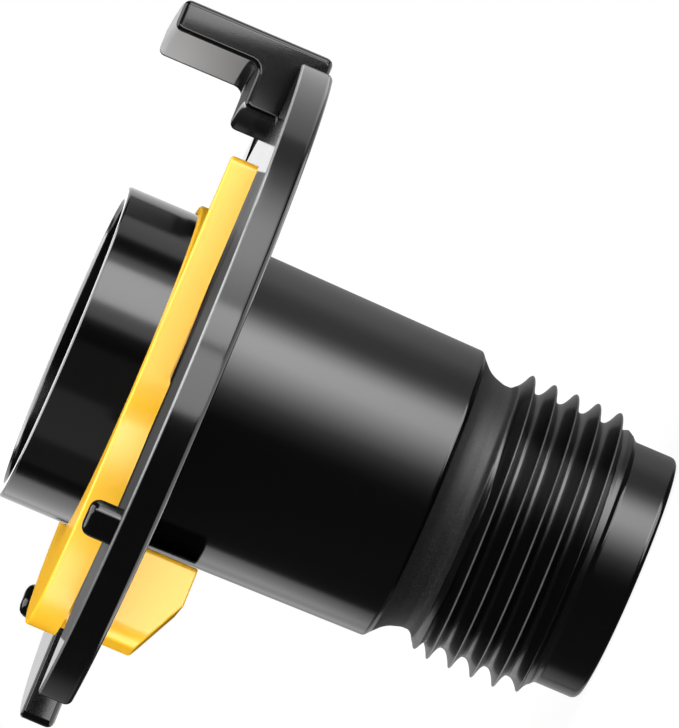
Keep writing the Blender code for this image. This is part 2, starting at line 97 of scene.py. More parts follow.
def on_ring(vert, radius, height):
    """True for a point at this radius and height about the Z axis."""
    off_radius = abs(math.hypot(vert.co.x, vert.co.y) - radius)
    return off_radius < SAME_PLACE and abs(vert.co.z - height) < SAME_PLACE


def round_edges(mesh, edges, width, segments=4):
    """Rounds edges of a mesh."""
    bmesh.ops.bevel(
        mesh, geom=list(edges), offset=width, segments=segments, profile=0.5, affect="EDGES", material=-1
    )


def swept(mesh, profile, closed=True, start=0, sweep=math.tau, steps=ROUND_STEPS):
    """Turns a profile of (radius, height, rounding) corners about Z, and rounds those that ask for it."""
    corners = [mesh.verts.new((radius, 0, height)) for radius, height, _ in profile]
    wire = [mesh.edges.new(pair) for pair in zip(corners, corners[1:])]
    if closed:
        wire.append(mesh.edges.new((corners[-1], corners[0])))
    bmesh.ops.rotate(mesh, verts=corners, cent=(0, 0, 0), matrix=Matrix.Rotation(start, 3, "Z"))
    bmesh.ops.spin(
        mesh, geom=corners + wire, cent=(0, 0, 0), axis=(0, 0, 1), angle=sweep, steps=steps,
        use_merge=sweep == math.tau,
    )
    for radius, height, rounding in profile:
        if rounding:
            ring = [e for e in mesh.edges if all(on_ring(vert, radius, height) for vert in e.verts)]
            round_edges(mesh, ring, rounding)


def object_from(name, mesh):
    """Closes a mesh, turns its faces outwards and makes a named object of it."""
    bmesh.ops.remove_doubles(mesh, verts=mesh.verts, dist=WELD)
    bmesh.ops.triangulate(mesh, faces=[face for face in mesh.faces if len(face.verts) > 4])
    bmesh.ops.recalc_face_normals(mesh, faces=mesh.faces)
    data = bpy.data.meshes.new(name)
    mesh.to_mesh(data)
    mesh.free()
    made = bpy.data.objects.new(name, data)
    bpy.context.scene.collection.objects.link(made)
    return made


def finish_piece(piece, material, sharp=math.radians(32)):
    """Smooth faces with sharp edges kept, in one material."""
    piece.data.materials.clear()
    piece.data.materials.append(material)
    piece.data.shade_smooth()
    piece.data.set_sharp_from_angle(angle=sharp)
    normals = piece.modifiers.new("flat_faces_stay_flat", "WEIGHTED_NORMAL")
    normals.keep_sharp = True


class Wire:
    """A value in a material's nodes. Sums on it add Math nodes, and node() adds one of any other type."""

    def __init__(self, tree, socket=None):
        self.tree = tree
        self.socket = socket

    def node(self, kind, settings, sockets, output=0):
        made = self.tree.nodes.new(kind)
        for name, value in settings.items():
            if name == "stops":
                while len(made.color_ramp.elements) < len(value):
                    made.color_ramp.elements.new(0.5)
                for stop, (place, shade) in zip(made.color_ramp.elements, value):
                    stop.position = place
                    stop.color = (shade, shade, shade, 1)
            else:
                setattr(made, name, value)
        for name, value in sockets.items():
            if isinstance(value, Wire):
                self.tree.links.new(value.socket, made.inputs[name])
            else:
                made.inputs[name].default_value = value
        return Wire(self.tree, made.outputs[output] if made.outputs else None)

    def maths(self, operation, first, second):
        return self.node("ShaderNodeMath", {"operation": operation}, {0: first, 1: second})

    def __add__(self, other):
        return self.maths("ADD", self, other)

    def __sub__(self, other):
        return self.maths("SUBTRACT", self, other)

    def __mul__(self, other):
        return self.maths("MULTIPLY", self, other)

    def __rsub__(self, other):
        return self.maths("SUBTRACT", other, self)

    __radd__ = __add__
    __rmul__ = __mul__

    def ramp(self, low, high):
        """0 below the low value, 1 above the high one and smooth between them."""
        return self.node(
            "ShaderNodeMapRange",
            {"interpolation_type": "SMOOTHSTEP"},
            {"Value": self, "From Min": low, "From Max": high},
        )

    def between(self, low, high, soft):
        """1 between two values, with soft ends outside them."""
        return self.ramp(low - soft, low) * (1 - self.ramp(high, high + soft))

    def part(self, name):
        """The X, Y or Z of a vector."""
        return self.node("ShaderNodeSeparateXYZ", {}, {"Vector": self}, name)


def new_material(name):
    """A material with no shader yet, and the object coordinates to draw its grain on."""
    material = bpy.data.materials.new(name)
    material.use_nodes = True
    material.node_tree.nodes.clear()
    return material, Wire(material.node_tree).node("ShaderNodeTexCoord", {}, {}, "Object")


def noise(place, scale, detail=3, roughness=0.55):
    """Cloudy grain of a given number of lumps to the metre."""
    return place.node(
        "ShaderNodeTexNoise", {}, {"Vector": place, "Scale": scale, "Detail": detail, "Roughness": roughness}
    )


def blend(mask, dark, light):
    """A colour between two, by a mask."""
    return mask.node(
        "ShaderNodeMix", {"data_type": "RGBA"}, {"Factor": mask, 6: (*dark, 1), 7: (*light, 1)}, 2
    )


def shade(colour, roughness, height, depth, shine=0.5):
    """Ends a material in a plastic of this colour, roughness and shine, with a bump of a given depth."""
    bump = colour.node("ShaderNodeBump", {}, {"Height": height, "Distance": depth}, "Normal")
    plastic = colour.node(
        "ShaderNodeBsdfPrincipled",
        {},
        {"Base Color": colour, "Roughness": roughness, "Normal": bump, "Specular IOR Level": shine},
    )
    plastic.node("ShaderNodeOutputMaterial", {}, {"Surface": plastic})


def crest_height(turns):
    """Height of the thread's crest. It runs level at both ends, against the nose and against the neck."""
    if turns < FIRST_TURN:
        return LOWEST_CREST + THREAD_PITCH * (turns - FIRST_TURN)
    if turns > LAST_TURN:
        return HIGHEST_CREST + THREAD_PITCH * (turns - LAST_TURN)
    return min(max(FIRST_CREST + THREAD_PITCH * turns, LOWEST_CREST), HIGHEST_CREST)


def tooth_rise(turns, height):
    """How far one turn of the thread stands out of its root at a height. The flanks of a tooth are hollow."""
    fade = min((turns - FIRST_TURN) * FADE_IN, (LAST_TURN - turns) * FADE_OUT, 1)
    part = (height - crest_height(turns)) / THREAD_PITCH
    flank = NOSE_FLANK if part < 0 else BARREL_FLANK
    share = (abs(part) - CREST_EDGE) / (flank - CREST_EDGE)
    if fade <= 0 or share >= 1:
        return 0
    if share <= 0:
        return THREAD_DEPTH * fade * (1 - CREST_DROP * (part / CREST_EDGE) ** 2)
    return THREAD_DEPTH * fade * (1 - CREST_DROP) * (1 - share) ** FLANK_HOLLOW


barrel_mesh = bmesh.new()
swept(
    barrel_mesh,
    [
        (THREAD_ROOT_RADIUS, THREAD_TOP, 0),
        (NECK_RADIUS, NECK_BOTTOM, SOFT_EDGE),
        (NECK_RADIUS, COVE_BOTTOM, SOFT_EDGE),
        (COVE_MIDDLE_RADIUS, COVE_MIDDLE, COVE_ROUND),
        (COVE_TOP_RADIUS, COVE_TOP, SOFT_EDGE / 2),
        (SHOULDER_RADIUS, SHOULDER_HEIGHT, SOFT_EDGE),
        (BARREL_TOP_RADIUS, BARREL_TOP, SOFT_EDGE),
        (SOCKET_RADIUS, BARREL_TOP, 0),
        (SOCKET_RADIUS, SOCKET_FLOOR, 0),
        (BARREL_BORE_RADIUS, SOCKET_FLOOR, 0),
        (BARREL_BORE_RADIUS, BORE_CONE_TOP, BORE_ROUND),
        (NOSE_BORE_RADIUS, BORE_CONE_BOTTOM, BORE_ROUND),
        (NOSE_BORE_RADIUS, 0, SOFT_EDGE),
        (NOSE_RADIUS, 0, NOSE_ROUND),
        (NOSE_RADIUS, NOSE_LENGTH, SOFT_EDGE),
        (THREAD_ROOT_RADIUS, THREAD_BOTTOM, 0),
    ],
    closed=False,
)
# Rows of points across one tooth, in shares of the pitch from its crest.
crest_rows = [-CREST_EDGE, -0.035, -0.018, 0, 0.018, 0.035, CREST_EDGE]
nose_rows = [-NOSE_FLANK, -0.30, -0.24, -0.19, -0.14, -0.10, -0.07]
barrel_rows = [0.07, 0.10, 0.14, 0.20, 0.27, 0.35, 0.44, BARREL_FLANK, 0.59]
turn_rows = nose_rows + crest_rows + barrel_rows
rows = [(tooth, part) for tooth in range(FIRST_TOOTH, LAST_TOOTH + 1) for part in turn_rows]
thread_grid = bmesh.ops.create_grid(
    barrel_mesh, x_segments=ROUND_STEPS, y_segments=len(rows) - 1, size=0.5
)
for vert in thread_grid["verts"]:
    turn = vert.co.x + 0.5
    tooth, part = rows[round((vert.co.y + 0.5) * (len(rows) - 1))]
    turns = tooth + turn
    crest = crest_height(turns)
    spacing = crest_height(turns + 1) - crest if part > 0 else crest - crest_height(turns - 1)
    height = min(max(crest + part * spacing, THREAD_BOTTOM), THREAD_TOP)
    inside = min((height - THREAD_BOTTOM) / THREAD_RUN_IN, (THREAD_TOP - height) / THREAD_RUN_IN, 1)
    rise = max(tooth_rise(turns + other, height) for other in (-1, 0, 1))
    radius = THREAD_ROOT_RADIUS + rise * inside
    angle = THREAD_START_ANGLE + math.tau * turn
    vert.co = (radius * math.cos(angle), radius * math.sin(angle), height)
hose_barrel = object_from("barrel_moulding", barrel_mesh)
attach(hose_barrel, "barrel")
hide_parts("hose_barrel")

GLOSS_BLACK = (0.0018, 0.0018, 0.0021)
# A pale grey for the grain of the neck and for the painted highlight on the crests of the thread.
PALE_GRAIN_AND_HIGHLIGHT = (0.15, 0.15, 0.155)
BARREL_GRAIN_DEPTH = 0.00006
gloss_black, place = new_material("gloss_black_moulding")
height = place.part("Z")
neck = height.between(THREAD_TOP, COVE_TOP, SOFT_EDGE)
thread = height.between(THREAD_BOTTOM, NECK_BOTTOM, SOFT_EDGE)
cloud = noise(place, 60)
grain = noise(place, 2600, detail=2)
mottle = noise(place, 480, detail=4)
speck = grain.ramp(0.45, 0.70)
crest_radius = THREAD_ROOT_RADIUS + THREAD_DEPTH
reach = place.part("X") * place.part("X") + place.part("Y") * place.part("Y")
# The crests of the thread are painted pale: a painted highlight line along each crest.
painted_edge_highlight = thread * reach.ramp((crest_radius - CREST_HIGHLIGHT_REACH) ** 2, crest_radius**2) * (0.55 + 0.45 * mottle)
pale_grain = neck * (0.02 + 0.05 * mottle + 0.10 * speck)
shade(
    blend(painted_edge_highlight + pale_grain + thread * 0.015 * grain, GLOSS_BLACK, PALE_GRAIN_AND_HIGHLIGHT),
    0.13 + 0.05 * cloud + neck * (0.32 + 0.14 * mottle) + thread * (0.06 + 0.06 * grain),
    grain * (0.010 + neck * 0.5 + thread * 0.06) + mottle * neck * 0.4,
    BARREL_GRAIN_DEPTH,
)
finish_piece(hose_barrel, gloss_black)


# Mouth sleeve
# The black spigot that enters the waste outlet, polished like the barrel. Its tail runs down through the lock
# ring and the flange and is bonded into the socket of the barrel, so its head holds both in place.
SLEEVE_TOP = 0.1226
SLEEVE_HEAD = 0.1055
SLEEVE_RADIUS = 0.0336
SLEEVE_BORE_RADIUS = 0.0254
LIP_ROUND = 0.0006
LIP_CHAMFER = 0.0006
TAIL_RADIUS = 0.0286
TAIL_BOTTOM = 0.0784
TAIL_ROUND = 0.0008
GASKET_SEAT_RADIUS = 0.0304
GASKET_SEAT = 0.1163
GROOVE_RADIUS = 0.0269
GROOVE_HALF_WIDTH = 0.0010
SWIVEL_GROOVE = 0.0979
SLEEVE_GROOVE = 0.0834

grooves = []
for middle in (SWIVEL_GROOVE, SLEEVE_GROOVE):
    grooves += [
        (TAIL_RADIUS, middle + GROOVE_HALF_WIDTH, 0),
        (GROOVE_RADIUS, middle + GROOVE_HALF_WIDTH, 0),
        (GROOVE_RADIUS, middle - GROOVE_HALF_WIDTH, 0),
        (TAIL_RADIUS, middle - GROOVE_HALF_WIDTH, 0),
    ]
sleeve_mesh = bmesh.new()
swept(
    sleeve_mesh,
    [
        (SLEEVE_RADIUS, SLEEVE_TOP, LIP_ROUND),
        (SLEEVE_RADIUS, SLEEVE_HEAD, SOFT_EDGE),
        (TAIL_RADIUS, SLEEVE_HEAD, 0),
        *grooves,
        (TAIL_RADIUS, TAIL_BOTTOM, TAIL_ROUND),
        (SLEEVE_BORE_RADIUS, TAIL_BOTTOM, 0),
        (SLEEVE_BORE_RADIUS, GASKET_SEAT, SOFT_EDGE),
        (GASKET_SEAT_RADIUS, GASKET_SEAT, 0),
        (GASKET_SEAT_RADIUS, SLEEVE_TOP - LIP_CHAMFER, SOFT_EDGE / 2),
        (GASKET_SEAT_RADIUS + LIP_CHAMFER, SLEEVE_TOP, SOFT_EDGE / 2),
    ],
)
mouth_sleeve = object_from("mouth_moulding", sleeve_mesh)
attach(mouth_sleeve, "barrel")
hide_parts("mouth_sleeve")
finish_piece(mouth_sleeve, gloss_black)


# Seals
# Three rings of black pressed rubber with a dull, slightly dusty skin. Two lie in grooves of the tail, and
# the third is a flat gasket on the seat inside the mouth.
RUBBER_BLACK = (0.012, 0.012, 0.012)
RUBBER_DUST = (0.028, 0.027, 0.026)
RUBBER_GRAIN_DEPTH = 0.00005
rubber, place = new_material("black_rubber")
cloud = noise(place, 240)
grain = noise(place, 4200, detail=2)
shade(
    blend(cloud, RUBBER_BLACK, RUBBER_DUST),
    0.55 + 0.25 * cloud,
    grain + 0.5 * cloud,
    RUBBER_GRAIN_DEPTH,
)
for node in ("sleeve_o_ring", "swivel_o_ring", "mouth_gasket"):
    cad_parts[node].material_slots[0].material = rubber


# Friction washer
# A thin washer stamped from natural nylon sheet. It lies loose between the head of the sleeve and the web of
# the lock ring, so the ring turns without rubbing.
NYLON_CREAM = (0.70, 0.68, 0.62)
NYLON_WHITE = (0.80, 0.79, 0.75)
NYLON_GRAIN_DEPTH = 0.00002
nylon, place = new_material("natural_nylon")
cloud = noise(place, 320)
grain = noise(place, 5200, detail=1)
shade(
    blend(cloud, NYLON_CREAM, NYLON_WHITE),
    0.38 + 0.15 * cloud,
    grain,
    NYLON_GRAIN_DEPTH,
)
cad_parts["friction_washer"].material_slots[0].material = nylon


# Bayonet flange
# A black disc moulded with one long hook and two pads for the lugs of the waste outlet, a wide notch for the
# thumb lever and two relief notches beside the hook. It turns freely on the tail of the sleeve. The plastic
# is satin, duller beside the arms of the lock ring and inside the hook. Grey is painted on the front face
# beside the arms as a painted reflection of the arms, inside the hook and on its tip as a painted reflection,
# and along the front edge of the disc as a painted highlight that fades towards the notch.
FLANGE_RADIUS = 0.0727
FLANGE_BACK = 0.0944
FLANGE_FRONT = 0.1014
FLANGE_CORNER_ROUND = 0.0017
FLANGE_CORNER_STEP = math.radians(2)
FLANGE_BACK_ROUND = 0.0015
FLANGE_FRONT_ROUND = 0.0006
FACE_SKIN = 0.00004
UPRIGHT_RISE = 0.0010
SHARP_CORNER = math.radians(40)
NOTCH_HALF_WIDTH = 0.0149
NOTCH_FLOOR = 0.0316
NOTCH_CORNER = 0.0020
RELIEF_RADIUS = 0.0580
RELIEF_HALF_ANGLE = math.radians(27.5)
PAD_TOP = 0.1080
PAD_INNER = 0.0665
PAD_OUTER = 0.0715
PAD_ANGLE = math.radians(126.6)
PAD_HALF_ANGLE = math.radians(3.1)
PAD_ROUND = 0.0021
PAD_END_ROUND = 0.0019
PAD_SINK = 0.0020
HOOK_TOP = 0.1268
HOOK_INNER = 0.0662
HOOK_FOOT = 0.0572
HOOK_BACK = 0.0946
HOOK_HALF_ANGLE = math.radians(12.75)
HOOK_ROUND = 0.0014
HOOK_THROAT_ROUND = 0.0020
HOOK_END_ROUND = 0.0010


def draw_plate(start, strokes, bottom, top):
    """A flat plate whose outline is drawn on one side of the X axis and mirrored to the other.

    The outline goes in strokes from a start on the axis to an end on it. A stroke is a point that a straight
    line runs to, or the centre, angle and steps of an arc.
    """
    mesh = bmesh.new()
    tip = first = mesh.verts.new((*start, bottom))
    for stroke in strokes:
        if len(stroke) == 2:
            corner = mesh.verts.new((*stroke, bottom))
            mesh.edges.new((tip, corner))
            tip = corner
        else:
            centre, angle, steps = stroke
            arc = bmesh.ops.spin(
                mesh, geom=[tip], cent=(*centre, bottom), axis=(0, 0, 1), angle=angle, steps=steps
            )
            tip = arc["geom_last"][0]
    mesh.edges.new((tip, first))
    bmesh.ops.contextual_create(mesh, geom=mesh.edges)
    bmesh.ops.mirror(
        mesh, geom=mesh.verts[:] + mesh.edges[:] + mesh.faces[:], axis="Y", merge_dist=WELD
    )
    raised = bmesh.ops.extrude_face_region(mesh, geom=mesh.faces[:], use_keep_orig=True)["geom"]
    lifted = [element for element in raised if isinstance(element, bmesh.types.BMVert)]
    bmesh.ops.translate(mesh, verts=lifted, vec=(0, 0, top - bottom))
    bmesh.ops.recalc_face_normals(mesh, faces=mesh.faces)
    return mesh


def upright_edges(mesh):
    """The edges that run up from the back of a plate to its front."""
    return [edge for edge in mesh.edges if abs(edge.verts[0].co.z - edge.verts[1].co.z) > UPRIGHT_RISE]


def open_edges(mesh, height, radius):
    """The sharp edges that lie flat at a height, outside a radius."""
    flat = [e for e in mesh.edges if all(abs(vert.co.z - height) < SAME_PLACE for vert in e.verts)]
    outside = [edge for edge in flat if all(vert.co.xy.length > radius for vert in edge.verts)]
    return [edge for edge in outside if edge.calc_face_angle(0) > SHARP_CORNER]


def combine(piece, mesh, operation):
    """Joins a mesh to a piece or cuts it away, for good."""
    tool = object_from("tool", mesh)
    modifier = piece.modifiers.new("combine", "BOOLEAN")
    modifier.operation = operation
    modifier.solver = "EXACT"
    modifier.object = tool
    ready = piece.evaluated_get(bpy.context.evaluated_depsgraph_get())
    piece.data = bpy.data.meshes.new_from_object(ready)
    piece.modifiers.clear()
    bpy.data.objects.remove(tool)


def block(profile, middle, half_angle, end_round, steps):
    """A block that is a swept part of a ring, with its ends closed and rounded."""
    mesh = bmesh.new()
    swept(mesh, profile, start=middle - half_angle, sweep=2 * half_angle, steps=steps)
    bmesh.ops.holes_fill(mesh, edges=mesh.edges, sides=0)
    corners = max(len(face.verts) for face in mesh.faces)
    ends = [face for face in mesh.faces if len(face.verts) == corners]
    round_edges(mesh, {edge for face in ends for edge in face.edges}, end_round)
    return mesh


notch_angle = math.asin(NOTCH_HALF_WIDTH / FLANGE_RADIUS)
relief_edge = Vector((math.cos(RELIEF_HALF_ANGLE), math.sin(RELIEF_HALF_ANGLE)))
disc = draw_plate(
    (RELIEF_RADIUS, 0),
    [
        ((0, 0), RELIEF_HALF_ANGLE - FLANGE_CORNER_STEP, 28),
        ((0, 0), FLANGE_CORNER_STEP, 1),
        tuple(relief_edge * FLANGE_RADIUS),
        ((0, 0), FLANGE_CORNER_STEP, 1),
        ((0, 0), math.pi - notch_angle - RELIEF_HALF_ANGLE - 2 * FLANGE_CORNER_STEP, 160),
        ((0, 0), FLANGE_CORNER_STEP, 1),
        (-NOTCH_FLOOR - NOTCH_CORNER, NOTCH_HALF_WIDTH),
        ((-NOTCH_FLOOR - NOTCH_CORNER, NOTCH_HALF_WIDTH - NOTCH_CORNER), -math.pi / 2, 6),
        (-NOTCH_FLOOR, 0),
        (-SOCKET_RADIUS, 0),
        ((0, 0), -math.pi, ROUND_STEPS // 2),
    ],
    FLANGE_BACK,
    FLANGE_FRONT,
)
corners = [edge for edge in upright_edges(disc) if edge.calc_face_angle(0) > SHARP_CORNER]
round_edges(disc, corners, FLANGE_CORNER_ROUND)
outside_bore = (SOCKET_RADIUS + NOTCH_FLOOR) / 2
round_edges(disc, open_edges(disc, FLANGE_BACK, outside_bore), FLANGE_BACK_ROUND)
round_edges(disc, open_edges(disc, FLANGE_FRONT, outside_bore), FLANGE_FRONT_ROUND)
bayonet_flange = object_from("flange_moulding", disc)
hook = block(
    [
        (FLANGE_RADIUS, HOOK_TOP, HOOK_ROUND),
        (FLANGE_RADIUS, HOOK_BACK, FLANGE_BACK_ROUND),
        (HOOK_FOOT, HOOK_BACK, 0),
        (HOOK_FOOT, PAD_TOP, HOOK_ROUND),
        (HOOK_INNER, PAD_TOP, HOOK_THROAT_ROUND),
        (HOOK_INNER, HOOK_TOP, HOOK_ROUND),
    ],
    0,
    HOOK_HALF_ANGLE,
    HOOK_END_ROUND,
    16,
)
combine(bayonet_flange, hook, "UNION")
for side in (1, -1):
    pad = block(
        [
            (PAD_OUTER, PAD_TOP, PAD_ROUND),
            (PAD_OUTER, FLANGE_FRONT - PAD_SINK, 0),
            (PAD_INNER, FLANGE_FRONT - PAD_SINK, 0),
            (PAD_INNER, PAD_TOP, PAD_ROUND),
        ],
        side * PAD_ANGLE,
        PAD_HALF_ANGLE,
        PAD_END_ROUND,
        3,
    )
    combine(bayonet_flange, pad, "UNION")
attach(bayonet_flange, "flange")
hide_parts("bayonet_flange")

# Span along the arms where the front face is painted grey as a reflection of the arms.
ARM_REFLECTION_SPAN = (-0.054, 0.046)
POLISHED = (-0.034, -0.028)
HOOK_SKIN_ANGLE = math.radians(11.8)
ARM_TURN = math.radians(11.5)
# Where the painted highlight along the front edge fades towards the notch.
EDGE_HIGHLIGHT_FADE = (-0.045, -0.005)
# The grey of the painted highlight and the painted reflections, and of the faint grain.
GREY_GRAIN_AND_HIGHLIGHT = (0.50, 0.50, 0.51)
FLANGE_GRAIN_DEPTH = 0.000003
FLANGE_SHINE = 0.30
satin_black, place = new_material("satin_black_moulding")
out, across, height = place.part("X"), place.part("Y"), place.part("Z")
sideways = across.maths("ABSOLUTE", across, 0)
reach = out * out + across * across
cloud = noise(place, 45)
grain = noise(place, 3200, detail=2)
speck = noise(place, 900, detail=4)
front_face = height.between(FLANGE_FRONT - FACE_SKIN, FLANGE_FRONT + FACE_SKIN, FACE_SKIN)
along_arm = math.cos(ARM_TURN) * out + math.sin(ARM_TURN) * sideways
# The front face beside the arms is rougher and painted grey as a reflection of the arms, except on a polished
# patch of the far side.
polished = across.ramp(-SOFT_EDGE, SOFT_EDGE) * (1 - along_arm.ramp(*POLISHED))
dull_strip_painted_reflection = front_face * along_arm.between(*ARM_REFLECTION_SPAN, SOFT_EDGE) * (1 - polished)
edge_radius = FLANGE_RADIUS - FLANGE_FRONT_ROUND
edge_height = FLANGE_FRONT - FLANGE_FRONT_ROUND
# A painted highlight along the front edge of the disc, fainter towards the notch.
painted_edge_highlight = reach.ramp(edge_radius**2, (edge_radius + FLANGE_FRONT_ROUND / 2) ** 2)
painted_edge_highlight = painted_edge_highlight * height.ramp(edge_height, edge_height + FLANGE_FRONT_ROUND / 2)
painted_edge_highlight = painted_edge_highlight * (1 - out.ramp(HOOK_INNER - SOFT_EDGE, HOOK_INNER)) * (0.35 + 0.65 * out.ramp(*EDGE_HIGHLIGHT_FADE))
# The inner face and the tip of the hook are painted light grey as a reflection, and are rougher.
hook_painted_reflection = reach.between((HOOK_INNER - FACE_SKIN) ** 2, (HOOK_INNER + HOOK_ROUND / 2) ** 2, FACE_SKIN**2)
hook_painted_reflection = hook_painted_reflection * height.ramp(PAD_TOP + HOOK_THROAT_ROUND, PAD_TOP + HOOK_THROAT_ROUND + SOFT_EDGE)
foot_top = height.between(PAD_TOP - FACE_SKIN, PAD_TOP + FACE_SKIN, FACE_SKIN) * out.ramp(0, SOFT_EDGE)
foot_top = foot_top * (1 - reach.ramp((HOOK_INNER - HOOK_THROAT_ROUND) ** 2, HOOK_INNER**2))
hook_tip = height.ramp(HOOK_TOP - HOOK_ROUND, HOOK_TOP - HOOK_ROUND / 2)
hook_painted_reflection = hook_painted_reflection.maths("MAXIMUM", hook_painted_reflection, hook_tip)
hook_painted_reflection = hook_painted_reflection * (out * math.tan(HOOK_SKIN_ANGLE) - sideways).ramp(0, SOFT_EDGE)
# Colour: faint grain, and the painted reflections and painted highlight mixed towards grey.
shade(
    blend(
        cloud * speck * 0.005 + dull_strip_painted_reflection * (0.05 + 0.05 * speck) + painted_edge_highlight * (0.7 + 0.3 * speck) + hook_painted_reflection,
        GLOSS_BLACK,
        GREY_GRAIN_AND_HIGHLIGHT,
    ),
    0.10 + 0.04 * cloud + 0.03 * speck + 0.36 * dull_strip_painted_reflection + 0.4 * foot_top + 0.3 * hook_painted_reflection,
    grain + 2 * cloud,
    FLANGE_GRAIN_DEPTH,
    FLANGE_SHINE,
)
finish_piece(bayonet_flange, satin_black)


# Lock ring
# A moulding of tough satin yellow plastic: a collar round the sleeve with a round lobe, and two straight
# spring arms that press past the lugs of the outlet. The thumb lever that turns it is moulded on its back and
# reaches through the notch of the flange.
RING_BACK = 0.1017
RING_FRONT = 0.1080
RING_WEB = 0.0024
RING_FRONT_ROUND = 0.0006
COLLAR_RADIUS = 0.0357
COLLAR_BORE = 0.0339
LOBE_RADIUS = 0.0363
LOBE_CENTRE = (-0.0190, 0)
ARM_INNER = 0.0367
ARM_OUTER = 0.0405
ARM_LENGTH = 0.0470
ARM_TIP = 0.0014
RAMP_START = -0.0030
RAMP_END = -0.0085
RAMP_ROUND = 0.0027
FOOT_STEP = math.radians(5)
LIFT_START = -0.0060
LIFT_END = 0.0020
ARM_LIFT = 0.0006
CUT_PAST = 0.0030
LEVER_HALF_WIDTH = 0.0080
LEVER_TOP = -0.0334
LEVER_HEEL = -0.0416
LEVER_BOTTOM = -0.0531
LEVER_ROOT = 0.1037
LEVER_END = 0.0807
LEVER_TOE = 0.0864
LEVER_ROUND = 0.0040
LEVER_TOP_ROUND = 0.0014
LEVER_RIM_ANGLE = math.radians(50)

arm_frame = Matrix.Rotation(ARM_TURN, 2)


def on_arm(along, outward):
    """A point from its distances along the arm and out from the axis."""
    return tuple(arm_frame @ Vector((along, outward)))


def cylinder(radius, bottom, top):
    """A plain round cutter on the Z axis."""
    mesh = bmesh.new()
    bmesh.ops.create_cone(
        mesh, cap_ends=True, segments=ROUND_STEPS, radius1=radius, radius2=radius, depth=top - bottom,
        matrix=Matrix.Translation((0, 0, (bottom + top) / 2)),
    )
    return mesh


lobe_on_arm = arm_frame.transposed() @ Vector(LOBE_CENTRE)
slit_root = lobe_on_arm.x + math.sqrt(LOBE_RADIUS**2 - (ARM_INNER - lobe_on_arm.y) ** 2)
ramp_foot = on_arm(
    RAMP_END, lobe_on_arm.y + math.sqrt(LOBE_RADIUS**2 - (RAMP_END - lobe_on_arm.x) ** 2)
)
foot_angle = math.atan2(ramp_foot[1], ramp_foot[0] - LOBE_CENTRE[0])
collar_meet = (LOBE_RADIUS**2 - COLLAR_RADIUS**2 - LOBE_CENTRE[0] ** 2) / (-2 * LOBE_CENTRE[0])
arm_end = ARM_LENGTH - ARM_TIP
plate = draw_plate(
    (COLLAR_RADIUS, 0),
    [
        ((0, 0), math.acos(collar_meet / COLLAR_RADIUS), 62),
        on_arm(slit_root, ARM_INNER),
        on_arm(arm_end, ARM_INNER),
        (on_arm(arm_end, ARM_INNER + ARM_TIP), math.pi / 2, 8),
        on_arm(ARM_LENGTH, ARM_OUTER - ARM_TIP),
        (on_arm(arm_end, ARM_OUTER - ARM_TIP), math.pi / 2, 8),
        on_arm(RAMP_START, ARM_OUTER),
        ramp_foot,
        (LOBE_CENTRE, FOOT_STEP, 1),
        (LOBE_CENTRE, math.pi - FOOT_STEP - foot_angle, 56),
    ],
    RING_BACK,
    RING_FRONT,
)
bends = [Vector(on_arm(RAMP_START, ARM_OUTER)), Vector(ramp_foot)]
bends += [Vector((bend.x, -bend.y)) for bend in bends]
at_bends = [
    edge
    for edge in upright_edges(plate)
    if any((edge.verts[0].co.xy - bend).length < SAME_PLACE for bend in bends)
]
round_edges(plate, at_bends, RAMP_ROUND, 8)
round_edges(plate, open_edges(plate, RING_FRONT, 0), RING_FRONT_ROUND)
lock_ring = object_from("lock_moulding", plate)
combine(lock_ring, cylinder(COLLAR_BORE, RING_BACK + RING_WEB, RING_FRONT + CUT_PAST), "DIFFERENCE")
combine(lock_ring, cylinder(SOCKET_RADIUS, RING_BACK - CUT_PAST, RING_BACK + CUT_PAST), "DIFFERENCE")
lift_from = Vector((LIFT_START, (ARM_INNER + COLLAR_RADIUS) / 2, RING_BACK - CUT_PAST))
lift_to = Vector((ARM_LENGTH + CUT_PAST, ARM_OUTER + CUT_PAST, RING_BACK + ARM_LIFT))
for side in (1, -1):
    lift = bmesh.new()
    bmesh.ops.create_cube(lift, size=1)
    bmesh.ops.scale(lift, verts=lift.verts, vec=lift_to - lift_from)
    upper = [vert for vert in lift.verts if vert.co.z > 0 and vert.co.x < 0]
    bmesh.ops.translate(lift, verts=upper, vec=(LIFT_END - LIFT_START, 0, 0))
    bmesh.ops.translate(lift, verts=lift.verts, vec=(lift_from + lift_to) / 2)
    bmesh.ops.rotate(lift, verts=lift.verts, cent=(0, 0, 0), matrix=Matrix.Rotation(ARM_TURN, 3, "Z"))
    bmesh.ops.scale(lift, verts=lift.verts, vec=(1, side, 1))
    combine(lock_ring, lift, "DIFFERENCE")

lever = bmesh.new()
lever_side = [
    (LEVER_TOP, LEVER_ROOT), (LEVER_TOP, LEVER_END), (LEVER_HEEL, LEVER_END), (LEVER_BOTTOM, LEVER_TOE),
    (LEVER_BOTTOM, LEVER_ROOT),
]
near_side = lever.faces.new([lever.verts.new((x, -LEVER_HALF_WIDTH, z)) for x, z in lever_side])
drawn = bmesh.ops.extrude_face_region(lever, geom=[near_side], use_keep_orig=True)["geom"]
far_side = [element for element in drawn if isinstance(element, bmesh.types.BMVert)]
bmesh.ops.translate(lever, verts=far_side, vec=(0, 2 * LEVER_HALF_WIDTH, 0))
bmesh.ops.recalc_face_normals(lever, faces=lever.faces)


def lever_edges(x):
    """The edges that run up the lever at a distance from the axis."""
    upright = upright_edges(lever)
    return [edge for edge in upright if all(abs(vert.co.x - x) < SAME_PLACE for vert in edge.verts)]


